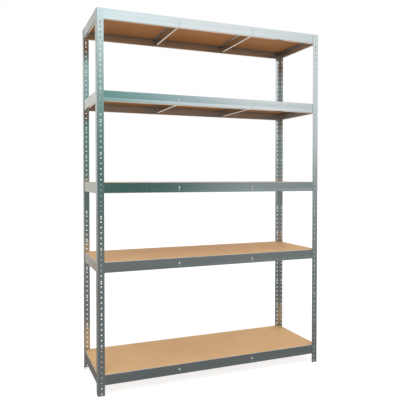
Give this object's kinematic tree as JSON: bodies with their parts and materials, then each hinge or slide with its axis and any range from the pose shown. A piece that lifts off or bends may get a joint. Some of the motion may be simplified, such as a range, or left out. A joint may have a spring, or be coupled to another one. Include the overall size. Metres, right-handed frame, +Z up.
{
  "type": "boltless steel shelving",
  "caption": "Tall free-standing boltless shelving of galvanised steel: perforated angle uprights, folded beams and loose fibreboard shelves.",
  "frame": {"origin": "centre of the footprint on the floor", "axes": "+Z up along the uprights, +X along the shelves to the right seen from the front, the front faces -Y"},
  "size_m": [1.2056, 0.3956, 1.792],
  "materials": {
    "upright_steel": "galvanised, matt grey with faint spangle",
    "splice_steel": "galvanised, matt grey",
    "beam_steel": "galvanised, smooth satin with faint rolling lines",
    "crossbar_steel": "galvanised, smooth satin",
    "board_fibre": "plain tan fibreboard, matt, with fine fibres"
  },
  "bodies": {
    "frame": {"upright_front_left_lower": "upright_steel", "upright_front_left_upper": "upright_steel", "upright_front_right_lower": "upright_steel", "upright_front_right_upper": "upright_steel", "upright_rear_left_lower": "upright_steel", "upright_rear_left_upper": "upright_steel", "upright_rear_right_lower": "upright_steel", "upright_rear_right_upper": "upright_steel", "splice_front_left": "splice_steel", "splice_front_right": "splice_steel", "splice_rear_left": "splice_steel", "splice_rear_right": "splice_steel", "beam_front_1": "beam_steel", "beam_front_2": "beam_steel", "beam_front_3": "beam_steel", "beam_front_4": "beam_steel", "beam_front_5": "beam_steel", "beam_rear_1": "beam_steel", "beam_rear_2": "beam_steel", "beam_rear_3": "beam_steel", "beam_rear_4": "beam_steel", "beam_rear_5": "beam_steel", "beam_left_1": "beam_steel", "beam_left_2": "beam_steel", "beam_left_3": "beam_steel", "beam_left_4": "beam_steel", "beam_left_5": "beam_steel", "beam_right_1": "beam_steel", "beam_right_2": "beam_steel", "beam_right_3": "beam_steel", "beam_right_4": "beam_steel", "beam_right_5": "beam_steel", "crossbar_left_1": "crossbar_steel", "crossbar_left_2": "crossbar_steel", "crossbar_left_3": "crossbar_steel", "crossbar_left_4": "crossbar_steel", "crossbar_left_5": "crossbar_steel", "crossbar_right_1": "crossbar_steel", "crossbar_right_2": "crossbar_steel", "crossbar_right_3": "crossbar_steel", "crossbar_right_4": "crossbar_steel", "crossbar_right_5": "crossbar_steel"},
    "board_1_body": {"board_1": "board_fibre"},
    "board_2_body": {"board_2": "board_fibre"},
    "board_3_body": {"board_3": "board_fibre"},
    "board_4_body": {"board_4": "board_fibre"},
    "board_5_body": {"board_5": "board_fibre"}
  },
  "joints": [
    {"name": "board_1_lift", "type": "slide", "parent": "frame", "child": "board_1_body", "axis": [0, 0, 1], "range_m": [0, 0.47]},
    {"name": "board_2_lift", "type": "slide", "parent": "frame", "child": "board_2_body", "axis": [0, 0, 1], "range_m": [0, 0.315]},
    {"name": "board_3_lift", "type": "slide", "parent": "frame", "child": "board_3_body", "axis": [0, 0, 1], "range_m": [0, 0.37]},
    {"name": "board_4_lift", "type": "slide", "parent": "frame", "child": "board_4_body", "axis": [0, 0, 1], "range_m": [0, 0.32]},
    {"name": "board_5_lift", "type": "slide", "parent": "frame", "child": "board_5_body", "axis": [0, 0, 1], "range_m": [0, 0.2]}
  ]
}
